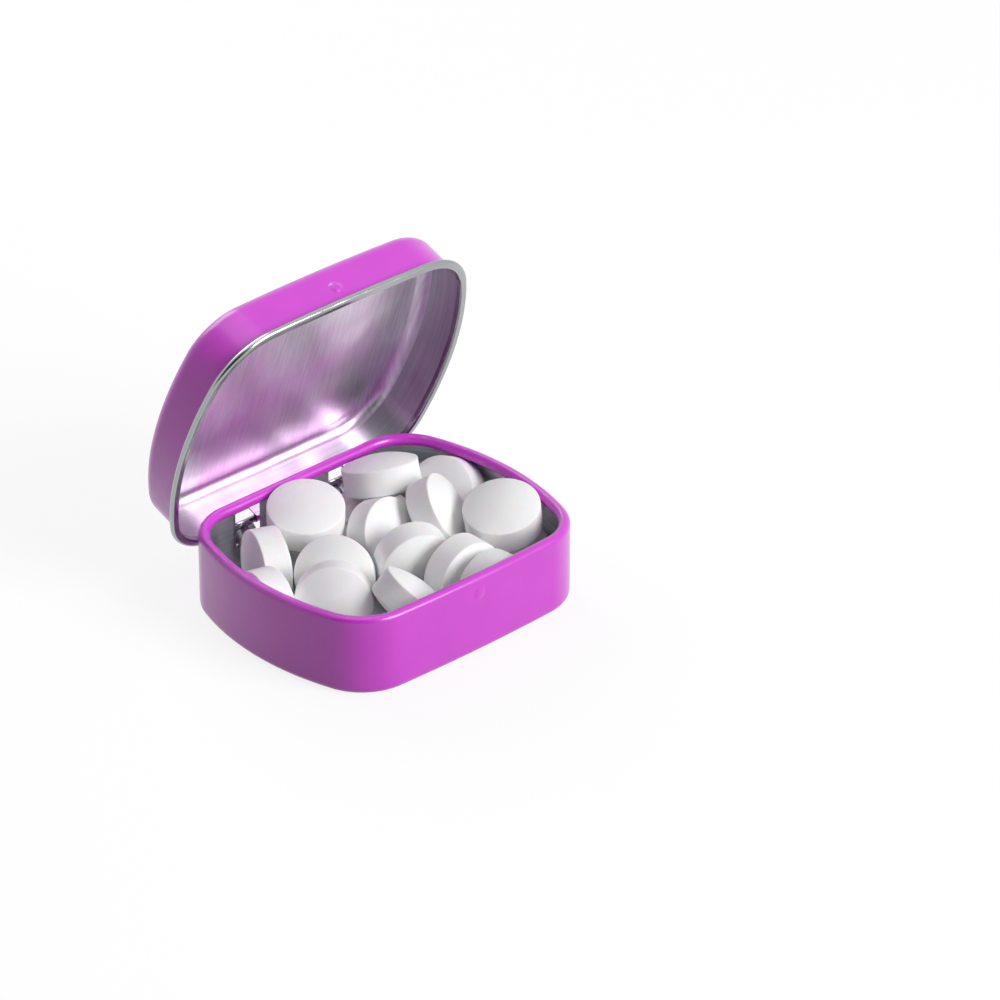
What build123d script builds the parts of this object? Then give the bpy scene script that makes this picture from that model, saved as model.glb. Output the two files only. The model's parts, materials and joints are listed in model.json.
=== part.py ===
"""Small hinged mint tin, standing open and filled with mints. Millimetres, +Z up.

The origin is on the table at the middle of the base. X runs along the hinge, the snap side
is at -Y and the hinge is at +Y. The lid is drawn shut, then turned open about its hinge.
"""
from math import cos, pi, radians, sin, sqrt, tan
import os

from build123d import *
import numpy as np

os.makedirs("parts", exist_ok=True)

# Both halves are drawn from one plan: a straight back, a slightly bowed front and bowed ends
base_length = 58.0
base_width = 47.0
corner_radius = 10.4
end_bow = 2.1
front_bow = 0.4

# Tinplate and the base's section
sheet = 0.23
base_height = 14.6
bottom_edge_radius = 1.2
rim_curl_radius = 1.0
rim_curl_turn = 285.0

# Lid's section, with the lid shut
lid_clearance = 0.43
closed_height = 17.1
lid_edge_radius = 2.4
bead_height = 7.7
bead_radius = 0.575
bead_reach = 2.0
bead_bend_radius = 0.35
bead_lip_gap = 0.08

# Hinge: two tongues cut from the base's back wall are curled round the lid's bead
hinge_spacing = 21.0
window_width = 5.6
window_top_gap = 2.2
window_corner_radius = 1.0
tongue_kerf = 0.2
tongue_slope = 45.0
tongue_bend_radius = 0.8
tongue_clearance = 0.06
tongue_curl_turn = 210.0
slot_side_gap = 0.3
slot_height = 2.0
open_angle = 70.0

# Snap dimples in both front walls
dimple_height = 11.5
dimple_width = 2.4
dimple_depth = 0.18
dimple_clearance = 0.12

# Mints: fat round tablets with two domed faces
mint_diameter = 13.4
mint_band = 4.5
mint_dome = 1.5
mint_gap = 0.16
floor_gap = 0.05
lid_gap = 0.2

# Where each mint starts before it settles, chosen by eye: its place as shares of half the length,
# half the width and the mint's diameter, then the tilt of its top and the way that it tilts in degrees
seen_start_shares = [
    (-0.17, 0.67, 0.81, 16, -115),
    (-0.51, 0.52, 0.55, 81, 162),
    (-0.26, 0.09, 0.58, 55, -139),
    (-0.55, -0.25, 0.54, 55, -150),
    (-0.24, -0.56, 0.63, 27, -6),
    (0.14, -0.22, 0.52, 75, -128),
    (0.32, -0.48, 0.57, 87, -108),
    (0.67, -0.38, 0.84, 15, -148),
    (0.82, 0.45, 0.57, 65, -141),
    (0.53, 0.14, 0.72, 58, -53),
    (0.54, 0.69, 0.92, 24, 40),
    (0.23, 0.29, 0.55, 62, -66),
]
buried_start_shares = [
    (-0.66, -0.63, 0.30, 0, 0),
    (0.29, -0.82, 0.52, 88, -96),
    (0.73, -0.35, 0.30, 0, 0),
    (-0.08, 0.70, 0.30, 0, 0),
    (0.40, 0.70, 0.30, 0, 0),
    (-0.86, 0.06, 0.52, 88, 178),
]

# Settling: how firmly a mint keeps to its start, how far it drops a step and how much of each
# overlap a step takes out; both pulls fade away before the last free_share of the steps
settle_steps = 520
free_share = 0.35
seen_hold_share = 0.08
buried_hold_share = 0.008
drop_share = 0.004
ease_share = 0.6
ring_sides = 30
inner_ring_shares = (0.25, 0.5, 0.75)
inner_ring_sides = 10
wall_points = 96

# Floor and panel lap the drawn wall by lap, and cuts run past the faces that they open by overrun
lap = 1.0
overrun = 1.0

wall_y = base_width / 2
bead_y = wall_y + bead_reach - bead_radius
hinge_axis = Axis((0, bead_y, bead_height), (1, 0, 0))
hinge_places = (-hinge_spacing / 2, hinge_spacing / 2)
lid_y = wall_y + lid_clearance + sheet
mint_radius = mint_diameter / 2
mint_thickness = mint_band + 2 * mint_dome
mint_ball = (mint_radius**2 + mint_dome**2) / (2 * mint_dome)
ball_offset = mint_ball - mint_dome - mint_band / 2
fill_height = closed_height - sheet - lid_gap
mint_sway = mint_radius**2 / 4 + (mint_band + mint_dome) ** 2 / 12
mid = sheet / 2


def plan_face(grow, height):
    """The tin's plan, grown outwards by grow, as a face at height."""
    core_x = base_length / 2 - corner_radius
    core_y = base_width / 2 - corner_radius
    corner_x = core_x - end_bow
    front_y = front_bow - core_y
    with BuildSketch(Plane.XY.offset(height)) as plan:
        with BuildLine():
            Line((-corner_x, core_y), (corner_x, core_y))
            ThreePointArc((corner_x, core_y), (core_x, 0), (corner_x, front_y))
            ThreePointArc((corner_x, front_y), (0, -core_y), (-corner_x, front_y))
            ThreePointArc((-corner_x, front_y), (-core_x, 0), (-corner_x, core_y))
        make_face()
        offset(amount=corner_radius + grow, kind=Kind.ARC)
    return plan.sketch


def polar(centre, radius, angle):
    """A point on a circle, with the angle in degrees."""
    return (centre[0] + radius * cos(radians(angle)), centre[1] + radius * sin(radians(angle)))


def dimple_face(wall_face, depth):
    """Half section of a shallow round dimple pressed outwards from the front wall."""
    crest = (-wall_face - depth, dimple_height)
    rim = (-wall_face, dimple_height + dimple_width / 2)
    half_chord = dimple_width / 2
    ball = (half_chord**2 + depth**2) / (2 * depth)
    with BuildSketch(Plane.YZ) as half:
        with BuildLine():
            RadiusArc(crest, rim, -ball)
            Line(rim, (-wall_face + mid, rim[1]))
            Line((-wall_face + mid, rim[1]), (-wall_face + mid, dimple_height))
            Line((-wall_face + mid, dimple_height), crest)
        make_face()
    return half.sketch


# Base: floor, wall and inward rim curl are one sheet, drawn as one section and swept round the plan
curl_centre = (wall_y - rim_curl_radius, base_height - rim_curl_radius)
edge_centre = (wall_y - bottom_edge_radius, bottom_edge_radius)
dimple_axis = Axis((0, 0, dimple_height), (0, 1, 0))

# A tongue leaves the wall at tongue_root, slopes out under the bead and curls up round it
roll_radius = bead_radius - mid
curl_radius = roll_radius + tongue_clearance + mid
tangent_point = polar((bead_y, bead_height), curl_radius, 270 + tongue_slope)
elbow = (wall_y - mid, tangent_point[1] - (tangent_point[0] - wall_y + mid) * tan(radians(tongue_slope)))
elbow_run = tongue_bend_radius * tan(radians(tongue_slope / 2))
tongue_root = elbow[1] - elbow_run
tongue_width = window_width - 2 * tongue_kerf
window_top = base_height - window_top_gap
with BuildPart() as base:
    with BuildSketch(Plane.YZ) as base_section:
        with BuildLine():
            Line((edge_centre[0] - lap, mid), (edge_centre[0], mid))
            CenterArc(edge_centre, bottom_edge_radius - mid, 270, 90)
            Line((wall_y - mid, edge_centre[1]), (wall_y - mid, curl_centre[1]))
            CenterArc(curl_centre, rim_curl_radius - mid, 0, rim_curl_turn)
        trace(line_width=sheet)
    sweep(path=plan_face(0, curl_centre[1]).face().outer_wire())
    add(plan_face(-bottom_edge_radius - lap / 2, 0))
    extrude(amount=sheet)
    # Windows in the back wall, rounded at the top
    with BuildSketch(Plane.XZ.offset(-wall_y - overrun)) as windows:
        with Locations(*[(place, (window_top + tongue_root) / 2) for place in hinge_places]):
            Rectangle(window_width, window_top - tongue_root)
        fillet(windows.vertices().group_by(Axis.Z)[-1], window_corner_radius)
    extrude(amount=sheet + 2 * overrun, mode=Mode.SUBTRACT)
    # Tongues
    for place in hinge_places:
        with BuildSketch(Plane.YZ.offset(place - tongue_width / 2)) as tongue_section:
            with BuildLine():
                Line((wall_y - mid, tongue_root - lap), (wall_y - mid, tongue_root))
                RadiusArc((wall_y - mid, tongue_root), polar(elbow, elbow_run, tongue_slope), tongue_bend_radius)
                Line(polar(elbow, elbow_run, tongue_slope), tangent_point)
                CenterArc((bead_y, bead_height), curl_radius, 270 + tongue_slope, tongue_curl_turn)
            trace(line_width=sheet)
        extrude(amount=tongue_width)
    # Snap dimple
    add(dimple_face(wall_y, dimple_depth))
    revolve(axis=dimple_axis)
    add(dimple_face(wall_y - sheet, dimple_depth))
    revolve(axis=dimple_axis, mode=Mode.SUBTRACT)
base.part.label = "tin_base"
export_step(base.part, "parts/tin_base.step")

# Lid, drawn shut: panel, skirt and the bead rolled outwards along its edge
skirt_y = lid_y - mid
lid_edge_centre = (lid_y - lid_edge_radius, closed_height - lid_edge_radius)
bend_centre = (skirt_y + bead_bend_radius, bead_height - bead_radius + mid + bead_bend_radius)
slot_width = tongue_width + 2 * slot_side_gap
with BuildPart() as lid:
    with BuildSketch(Plane.YZ) as lid_section:
        with BuildLine():
            Line((lid_edge_centre[0] - lap, closed_height - mid), (lid_edge_centre[0], closed_height - mid))
            CenterArc(lid_edge_centre, lid_edge_radius - mid, 90, -90)
            Line((skirt_y, lid_edge_centre[1]), (skirt_y, bend_centre[1]))
            CenterArc(bend_centre, bead_bend_radius, 180, 90)
            Line((bend_centre[0], bead_height - bead_radius + mid), (bead_y, bead_height - bead_radius + mid))
            CenterArc((bead_y, bead_height), bead_radius - mid, 270, 180)
            Line((bead_y, bead_height + bead_radius - mid), (lid_y + bead_lip_gap, bead_height + bead_radius - mid))
        trace(line_width=sheet)
    sweep(path=plan_face(0, bead_height).face().outer_wire())
    add(plan_face(lid_y - wall_y - lid_edge_radius - lap / 2, closed_height - sheet))
    extrude(amount=sheet)
    # Slots over the tongues, where only the rolled bead runs on
    with BuildSketch(Plane.XZ.offset(-wall_y)) as slots:
        with Locations(*[(place, bead_height + (slot_height - bead_reach) / 2) for place in hinge_places]):
            Rectangle(slot_width, slot_height + bead_reach)
    extrude(amount=-bead_reach - overrun, mode=Mode.SUBTRACT)
    for place in hinge_places:
        with BuildSketch(Plane.YZ.offset(place - (slot_width + lap) / 2)):
            with Locations((bead_y, bead_height)):
                Circle(roll_radius)
                Circle(roll_radius - sheet, mode=Mode.SUBTRACT)
        extrude(amount=slot_width + lap)
    # Snap dimple
    add(dimple_face(lid_y, dimple_depth + dimple_clearance))
    revolve(axis=dimple_axis)
    add(dimple_face(lid_y - sheet, dimple_depth + dimple_clearance))
    revolve(axis=dimple_axis, mode=Mode.SUBTRACT)
open_lid = lid.part.rotate(hinge_axis, -open_angle)
open_lid.label = "tin_lid"
export_step(open_lid, "parts/tin_lid.step")

# Mints
def mint_ring(sides):
    """Points round a flat mint's middle."""
    turns = np.linspace(0, 2 * pi, sides, endpoint=False)
    return mint_radius * np.stack([np.cos(turns), np.sin(turns), 0 * turns], axis=1)


def mint_skin():
    """Points on a flat mint's skin: rings on both domes and round the band's two edges and middle."""
    ring = mint_ring(ring_sides)
    edge = np.array([0, 0, mint_band / 2])
    rows = [ring, ring + edge, ring - edge]
    for share in inner_ring_shares:
        rise = edge + [0, 0, sqrt(mint_ball**2 - (share * mint_radius) ** 2) - mint_ball + mint_dome]
        inner_ring = share * mint_ring(inner_ring_sides)
        rows += [inner_ring + rise, inner_ring - rise]
    return np.concatenate(rows)


def mint_gaps(arms, normals):
    """How far outside a mint each point lies, given as arms from its centre, and the way out."""
    axial = (arms * normals).sum(axis=-1, keepdims=True)
    radial = arms - axial * normals
    out = np.linalg.norm(radial, axis=-1)
    dome_arm = radial + np.sign(axial) * (np.abs(axial) + ball_offset) * normals
    span = np.linalg.norm(dome_arm, axis=-1)
    on_band = (out - mint_radius > span - mint_ball)[..., None]
    ways = np.where(on_band, radial, dome_arm) / np.maximum(np.where(on_band, out[..., None], span[..., None]), mint_gap)
    return np.maximum(out - mint_radius, span - mint_ball), ways


def wire_points(wire):
    """Points spaced evenly and clockwise round a wire."""
    points = np.array([tuple(wire @ (k / wall_points)) for k in range(wall_points)])
    if points[1, 0] * points[2, 1] > points[1, 1] * points[2, 0]:
        points = points[::-1]
    return points


def wall_reach(points, outline):
    """How far inside the base's outer wall each point lies, and the way inwards."""
    outline = outline[:, :2]
    along = np.roll(outline, -1, axis=0) - outline
    along /= np.linalg.norm(along, axis=1)[:, None]
    inward = np.stack([along[:, 1], -along[:, 0]], axis=1)
    reach = np.einsum("...k,ek->...e", points[..., :2], inward) - (outline * inward).sum(axis=1)
    nearest = reach.argmin(axis=-1)
    inwards = np.concatenate([inward, 0 * inward[:, :1]], axis=1)[nearest]
    return np.take_along_axis(reach, nearest[..., None], axis=-1)[..., 0], inwards


def settle(places, normals, holds, outline, curl_line):
    """Drop the mints and push them off one another, the wall, the rim curl, the floor and the lid.

    Each step moves and turns every mint a little along its deepest overlaps, as a push there would.
    """
    skin = mint_skin()
    count = len(places)
    who = np.arange(count)
    others = np.ones((count, count), bool) ^ np.eye(count, dtype=bool)
    start_places, start_normals = places.copy(), normals.copy()
    for step in range(settle_steps):
        fade = max(0, 1 - step / (settle_steps * (1 - free_share)))
        places = places + fade * holds * (start_places - places)
        places[:, 2] -= fade * drop_share * mint_diameter
        normals = normals + fade * holds * (start_normals - normals)
        normals /= np.linalg.norm(normals, axis=1)[:, None]
        across = np.cross(normals, np.where(np.abs(normals[:, 2:]) < cos(pi / 4), [0, 0, 1], [1, 0, 0]))
        across /= np.linalg.norm(across, axis=1)[:, None]
        frames = np.stack([across, np.cross(normals, across), normals], axis=1)
        points = places[:, None] + skin @ frames
        moves, turns = np.zeros_like(places), np.zeros_like(places)

        def press(i, spots, ways, depths, far=None):
            depths = np.maximum(depths, 0)
            arm = np.cross(spots - places[i], ways)
            yields = 1 + (arm**2).sum(axis=1) / mint_sway
            if far is not None:
                far_arm = np.cross(spots - places[far], ways)
                yields = yields + 1 + (far_arm**2).sum(axis=1) / mint_sway
            force = (ease_share * depths / yields)[:, None]
            np.add.at(moves, i, force * ways)
            np.add.at(turns, i, force * arm / mint_sway)
            if far is not None:
                np.add.at(moves, far, -force * ways)
                np.add.at(turns, far, -force * far_arm / mint_sway)

        # Where a dome would meet another dome, and its own highest and lowest points
        balls = places[:, None] + np.array([[-1], [1]]) * ball_offset * normals[:, None]
        ways = balls[None, :, None, :] - balls[:, None, :, None]
        ways = ways / np.maximum(np.linalg.norm(ways, axis=-1, keepdims=True), mint_gap)
        meets = (balls[:, None, :, None] + mint_ball * ways).reshape(count, count, 4, 3)
        off_skin = mint_gaps(meets - places[:, None, None], normals[:, None, None])[0] > mint_gap / 2
        meets[off_skin] = [0, 0, fill_height + base_length]
        ends = (balls[:, :, None] + mint_ball * np.array([[0, 0, -1], [0, 0, 1]])).reshape(count, 4, 3)
        off_skin = mint_gaps(ends - places[:, None], normals[:, None])[0] > mint_gap / 2
        ends = np.where(off_skin[..., None], places[:, None], ends)
        # Mint on mint: no two centres come nearer than one mint's thickness
        ways = places[:, None] - places
        spans = np.linalg.norm(ways, axis=-1)
        i, j = np.nonzero((spans < mint_thickness + mint_gap) & others)
        span = np.maximum(spans[i, j], floor_gap)
        press(i, places[i], ways[i, j] / span[:, None], mint_thickness + mint_gap - span, j)
        # The deepest point of each in each of the others
        spots = np.concatenate([np.broadcast_to(points[:, None], (count, count, len(skin), 3)), meets], axis=2)
        gaps, ways = mint_gaps(spots - places[None, :, None], normals[None, :, None])
        deepest = gaps.argmin(axis=-1)
        i, j = np.nonzero((gaps.min(axis=-1) < mint_gap) & others)
        m = deepest[i, j]
        press(i, spots[i, j, m], ways[i, j, m], mint_gap - gaps[i, j, m], j)
        # Floor and lid
        spots = np.concatenate([points, ends], axis=1)
        low, high = spots[..., 2].argmin(axis=1), spots[..., 2].argmax(axis=1)
        press(who, spots[who, low], np.tile([0, 0, 1], (count, 1)), sheet + floor_gap - spots[who, low, 2])
        press(who, spots[who, high], np.tile([0, 0, -1], (count, 1)), spots[who, high, 2] - fill_height)
        # Wall and rim curl
        reach, inwards = wall_reach(points, outline)
        near = reach.argmin(axis=1)
        press(who, points[who, near], inwards[who, near], sheet + mint_gap - reach[who, near])
        gaps, ways = mint_gaps(curl_line - places[:, None], normals[:, None])
        near = gaps.argmin(axis=1)
        gaps, ways = gaps[who, near], ways[who, near]
        press(who, curl_line[near] - gaps[:, None] * ways, -ways, rim_curl_radius + mint_gap - gaps)
        places = places + moves
        normals = normals + np.cross(turns, normals)
        normals /= np.linalg.norm(normals, axis=1)[:, None]
    return places, normals


outline = wire_points(plan_face(0, 0).face().outer_wire())
curl_line = wire_points(plan_face(-rim_curl_radius, curl_centre[1]).face().outer_wire())
starts = np.array(seen_start_shares + buried_start_shares)
start_places = starts[:, :3] * [base_length / 2, base_width / 2, mint_diameter]
tilts, ways = np.radians(starts[:, 3]), np.radians(starts[:, 4])
start_normals = np.stack([np.sin(tilts) * np.cos(ways), np.sin(tilts) * np.sin(ways), np.cos(tilts)], axis=1)
holds = [[seen_hold_share]] * len(seen_start_shares) + [[buried_hold_share]] * len(buried_start_shares)
places, normals = settle(start_places, start_normals, np.array(holds), outline, curl_line)
with BuildPart() as tablet:
    with BuildSketch(Plane.XZ):
        with BuildLine():
            RadiusArc((0, -mint_thickness / 2), (mint_radius, -mint_band / 2), -mint_ball)
            Line((mint_radius, -mint_band / 2), (mint_radius, mint_band / 2))
            RadiusArc((mint_radius, mint_band / 2), (0, mint_thickness / 2), -mint_ball)
            Line((0, mint_thickness / 2), (0, -mint_thickness / 2))
        make_face()
    revolve(axis=Axis.Z)
for number, (place, normal) in enumerate(zip(places.tolist(), normals.tolist())):
    with BuildPart() as mint:
        with Locations(Location(Plane(origin=place, z_dir=normal))):
            add(tablet.part)
    mint.part.label = f"mint_{number + 1:02d}"
    export_step(mint.part, f"parts/{mint.part.label}.step")
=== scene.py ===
# %% [markdown]
# # A hinged mint tin, open and full of mints
# A mint tin is two shallow trays drawn from thin tinplate, lacquered outside and bare inside.
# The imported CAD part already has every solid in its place. This lesson draws a finer piece over
# each solid, from the same sizes, and gives it a material. Blender's units are metres.

# %% Load the frame
import json
from math import atan2, cos, pi, radians, sin, sqrt, tan

import bpy
import numpy as np
from mathutils import Matrix, Vector

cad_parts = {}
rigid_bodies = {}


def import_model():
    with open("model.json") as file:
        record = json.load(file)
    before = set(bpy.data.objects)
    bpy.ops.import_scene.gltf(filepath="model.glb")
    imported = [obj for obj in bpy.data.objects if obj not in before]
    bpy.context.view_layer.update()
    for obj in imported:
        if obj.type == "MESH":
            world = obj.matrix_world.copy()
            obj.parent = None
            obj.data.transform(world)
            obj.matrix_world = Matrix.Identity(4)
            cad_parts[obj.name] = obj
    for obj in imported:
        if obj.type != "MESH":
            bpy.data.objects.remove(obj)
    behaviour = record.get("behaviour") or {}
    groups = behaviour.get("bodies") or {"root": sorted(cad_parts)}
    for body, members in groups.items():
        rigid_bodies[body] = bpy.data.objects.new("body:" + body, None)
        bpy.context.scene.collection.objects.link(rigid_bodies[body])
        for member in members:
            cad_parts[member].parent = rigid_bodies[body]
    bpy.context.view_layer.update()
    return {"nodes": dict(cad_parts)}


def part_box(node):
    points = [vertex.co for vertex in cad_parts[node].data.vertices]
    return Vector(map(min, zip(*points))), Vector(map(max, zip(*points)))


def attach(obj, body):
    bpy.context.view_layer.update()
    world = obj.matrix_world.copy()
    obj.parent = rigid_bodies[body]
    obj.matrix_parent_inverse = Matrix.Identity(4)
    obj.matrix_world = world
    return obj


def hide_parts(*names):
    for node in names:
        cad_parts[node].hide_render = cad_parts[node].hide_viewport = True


for thing in list(bpy.data.objects):
    bpy.data.objects.remove(thing)
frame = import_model()

# %% [markdown]
# ## Sizes
# A drawn piece could copy the solid's mesh, but its faces are uneven and hard to shade. Here the
# sheet is drawn anew from the CAD source's own sizes, so it lies where the solid one does.

# %% Sizes in metres
MM = 0.001
base_length = 58.0 * MM
base_width = 47.0 * MM
base_height = 14.6 * MM
corner_radius = 10.4 * MM
end_bow = 2.1 * MM
front_bow = 0.4 * MM
sheet = 0.23 * MM
bottom_edge_radius = 1.2 * MM
rim_curl_radius = 1.0 * MM
rim_curl_turn = 285
lid_clearance = 0.43 * MM
closed_height = 17.1 * MM
lid_edge_radius = 2.4 * MM
bead_height = 7.7 * MM
bead_radius = 0.575 * MM
bead_reach = 2.0 * MM
bead_bend_radius = 0.35 * MM
bead_lip_gap = 0.08 * MM
hinge_spacing = 21.0 * MM
window_width = 5.6 * MM
window_top_gap = 2.2 * MM
window_corner_radius = 1.0 * MM
tongue_kerf = 0.2 * MM
tongue_slope = 45
tongue_bend_radius = 0.8 * MM
tongue_clearance = 0.06 * MM
tongue_curl_turn = 210
slot_side_gap = 0.3 * MM
slot_height = 2.0 * MM
open_angle = 70
dimple_height = 11.5 * MM
dimple_width = 2.4 * MM
dimple_depth = 0.18 * MM
dimple_clearance = 0.12 * MM
mint_diameter = 13.4 * MM
mint_band = 4.5 * MM
mint_dome = 1.5 * MM

mid = sheet / 2
wall_y = base_width / 2
bead_y = wall_y + bead_reach - bead_radius
hinge = Vector((0, bead_y, bead_height))
low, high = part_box("tin_base")
print("base solid is", round((high.x - low.x) / MM, 2), "mm long; drawn from", base_length / MM)

# %% [markdown]
# ## The plan
# Seen from above, both halves follow one path: straight at the back, bowed at the front and ends,
# round at the corners. Scaling one outline for each layer would change the gaps between them.
# So each point of the path has a core place and an outward way, and a layer only adds its distance.

# %% Path round the tin
core_x = base_length / 2 - corner_radius
core_y = base_width / 2 - corner_radius
corner_x = core_x - end_bow
front_y = front_bow - core_y


def circle_through(a, b, c):
    """Centre of the circle through three points."""
    d = 2 * (a.x * (b.y - c.y) + b.x * (c.y - a.y) + c.x * (a.y - b.y))
    aa, bb, cc = a.length_squared, b.length_squared, c.length_squared
    x = (aa * (b.y - c.y) + bb * (c.y - a.y) + cc * (a.y - b.y)) / d
    y = (aa * (c.x - b.x) + bb * (a.x - c.x) + cc * (b.x - a.x)) / d
    return Vector((x, y))


def bowed_side(start, crest, end, step, fine_step, fine_reach):
    """Core points and outward ways along a bowed side, at finer steps near its crest."""
    centre = circle_through(start, crest, end)
    radius = (crest - centre).length
    first, last = (atan2((p - centre).y, (p - centre).x) for p in (start, end))
    turn = (last - first + pi) % (2 * pi) - pi
    middle = atan2((crest - centre).y, (crest - centre).x)
    rows, angle = [], first + step / radius
    while abs(angle - first) < turn - step / radius:
        way = Vector((cos(angle), sin(angle)))
        rows.append((centre + radius * way, way))
        near = abs((angle - middle + pi) % (2 * pi) - pi) * radius < fine_reach
        angle += (fine_step if near else step) / radius
    ends = [Vector((cos(a), sin(a))) for a in (first, last)]
    return rows, ends


def plan_path(step=0.8 * MM, fine_step=0.12 * MM, fine_reach=1.7 * MM, corner_steps=26, back_steps=40):
    """Core points and outward ways all round, anticlockwise from the back right corner."""
    back_right, back_left = Vector((corner_x, core_y)), Vector((-corner_x, core_y))
    front_left, front_right = Vector((-corner_x, front_y)), Vector((corner_x, front_y))
    left, left_ends = bowed_side(back_left, Vector((-core_x, 0)), front_left, step, step, 0)
    crest = Vector((0, -core_y))
    front, front_ends = bowed_side(front_left, crest, front_right, step, fine_step, fine_reach)
    right, right_ends = bowed_side(front_right, Vector((core_x, 0)), back_right, step, step, 0)
    back_way = Vector((0, 1))
    back = [(back_right.lerp(back_left, k / back_steps), back_way) for k in range(1, back_steps)]

    def corner(core, first, last):
        start = atan2(first.y, first.x)
        turn = (atan2(last.y, last.x) - start) % (2 * pi)
        angles = [start + turn * k / corner_steps for k in range(corner_steps + 1)]
        return [(core, Vector((cos(a), sin(a)))) for a in angles]

    rows = back + corner(back_left, back_way, left_ends[0]) + left
    rows += corner(front_left, left_ends[1], front_ends[0]) + front
    rows += corner(front_right, front_ends[1], right_ends[0]) + right
    rows += corner(back_right, right_ends[1], back_way)
    return rows


path = plan_path()


def ring(grow):
    """The plan's outline grown by grow, as flat points."""
    return [core + (corner_radius + grow) * way for core, way in path]


widths = [max(p.x for p in ring(0)) * 2, max(p.y for p in ring(0)) * 2]
print("path of", len(path), "points;", [round(w / MM, 2) for w in widths], "mm across")

# %% [markdown]
# ## Sections of the sheet
# The base's wall ends in an inward curl, and the lid's skirt in an outward rolled bead: both hide
# the sheet's sharp edge. A section is a line of (distance out from the base's wall, height) pairs
# along the middle of the tinplate, made of arcs and straight stretches like a maker's drawing.


# %% Section helpers and the two sections
def arc(centre, radius, start, turn, steps):
    """Points along an arc, with angles in degrees."""
    angles = np.radians(start + turn * np.arange(steps + 1) / steps)
    return [(centre[0] + radius * cos(a), centre[1] + radius * sin(a)) for a in angles]


def line(start, end, steps):
    """Points along a straight stretch, without its start."""
    run, rise = end[0] - start[0], end[1] - start[1]
    return [(start[0] + run * k / steps, start[1] + rise * k / steps) for k in range(1, steps + 1)]


# A flat border before each rounded edge keeps the flat middle evenly shaded
flat_border = 0.5 * MM
base_curl = (-rim_curl_radius, base_height - rim_curl_radius)
base_edge = (-bottom_edge_radius, bottom_edge_radius)
dimple_low, dimple_top = dimple_height - dimple_width / 2, dimple_height + dimple_width / 2
base_section = [(base_edge[0] - flat_border, mid)]
base_section += arc(base_edge, bottom_edge_radius - mid, 270, 90, 10)
base_section += line((-mid, bottom_edge_radius), (-mid, dimple_low), 8)
base_section += line((-mid, dimple_low), (-mid, dimple_top), 20)
base_section += line((-mid, dimple_top), (-mid, base_curl[1]), 2)
base_section += arc(base_curl, rim_curl_radius - mid, 0, rim_curl_turn, 34)[1:]

lid_grow = lid_clearance + sheet
skirt = lid_grow - mid
lid_edge = (lid_grow - lid_edge_radius, closed_height - lid_edge_radius)
lid_bend = (skirt + bead_bend_radius, bead_height - bead_radius + mid + bead_bend_radius)
bead_out = bead_reach - bead_radius
bead_under, bead_over = bead_height - bead_radius + mid, bead_height + bead_radius - mid
lid_section = [(lid_edge[0] - flat_border, closed_height - mid)]
lid_section += arc(lid_edge, lid_edge_radius - mid, 90, -90, 18)
lid_section += line((skirt, lid_edge[1]), (skirt, dimple_top), 4)
lid_section += line((skirt, dimple_top), (skirt, dimple_low), 20)
lid_section += line((skirt, dimple_low), (skirt, lid_bend[1]), 4)
lid_section += arc(lid_bend, bead_bend_radius, 180, 90, 8)[1:]
lid_section += line((lid_bend[0], bead_under), (bead_out, bead_under), 3)
lid_section += arc((bead_out, bead_height), bead_radius - mid, 270, 180, 16)[1:]
lid_section += line((bead_out, bead_over), (lid_grow + bead_lip_gap, bead_over), 3)
print("section points:", len(base_section), "in the base and", len(lid_section), "in the lid")

# %% [markdown]
# ## Building node trees
# Materials and shapes are both made of nodes here. Node trees can be drawn by hand in Blender's
# editors, but a script has to say each link. These helpers add a node with its inputs and do sums,
# so that each tree below reads nearly like a list of its steps.


# %% Node helpers
def feed(tree, node, inputs):
    """Link a node's inputs to outputs, or set them to values."""
    for label, value in inputs.items():
        if isinstance(value, bpy.types.NodeSocket):
            tree.links.new(value, node.inputs[label])
        else:
            node.inputs[label].default_value = value


def add_node(tree, kind, inputs=None, **settings):
    """A new node with its settings and its inputs."""
    node = tree.nodes.new(kind)
    for label, value in settings.items():
        setattr(node, label, value)
    feed(tree, node, inputs or {})
    return node


def calc(tree, operation, *values):
    """The result of a Math node over outputs and numbers."""
    return add_node(tree, "ShaderNodeMath", dict(enumerate(values)), operation=operation).outputs[0]


def ranged(tree, value, from_min, from_max, to_min, to_max):
    """A value moved from one range to another, and held within it."""
    inputs = {"Value": value, "From Min": from_min, "From Max": from_max, "To Min": to_min, "To Max": to_max}
    return add_node(tree, "ShaderNodeMapRange", inputs).outputs["Result"]


def new_group(name, kind, output, inputs):
    """An empty node group, its input node's outputs and its output node."""
    group = bpy.data.node_groups.new(name, kind + "NodeTree")
    group.interface.new_socket(output[0], in_out="OUTPUT", socket_type="NodeSocket" + output[1])
    for label, socket in inputs.items():
        group.interface.new_socket(label, in_out="INPUT", socket_type="NodeSocket" + socket)
    return group, group.nodes.new("NodeGroupInput").outputs, group.nodes.new("NodeGroupOutput")


def object_place(tree):
    """The place on the object, where every noise here lies."""
    return add_node(tree, "ShaderNodeTexCoord").outputs["Object"]


print("node helpers for Blender", bpy.app.version_string)

# %% [markdown]
# ## Shared look nodes
# Every surface here has a fine grain, and a roughness that isn't quite even. Each could be drawn
# again in every material. Two small node groups, with named sockets, serve them all.


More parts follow.
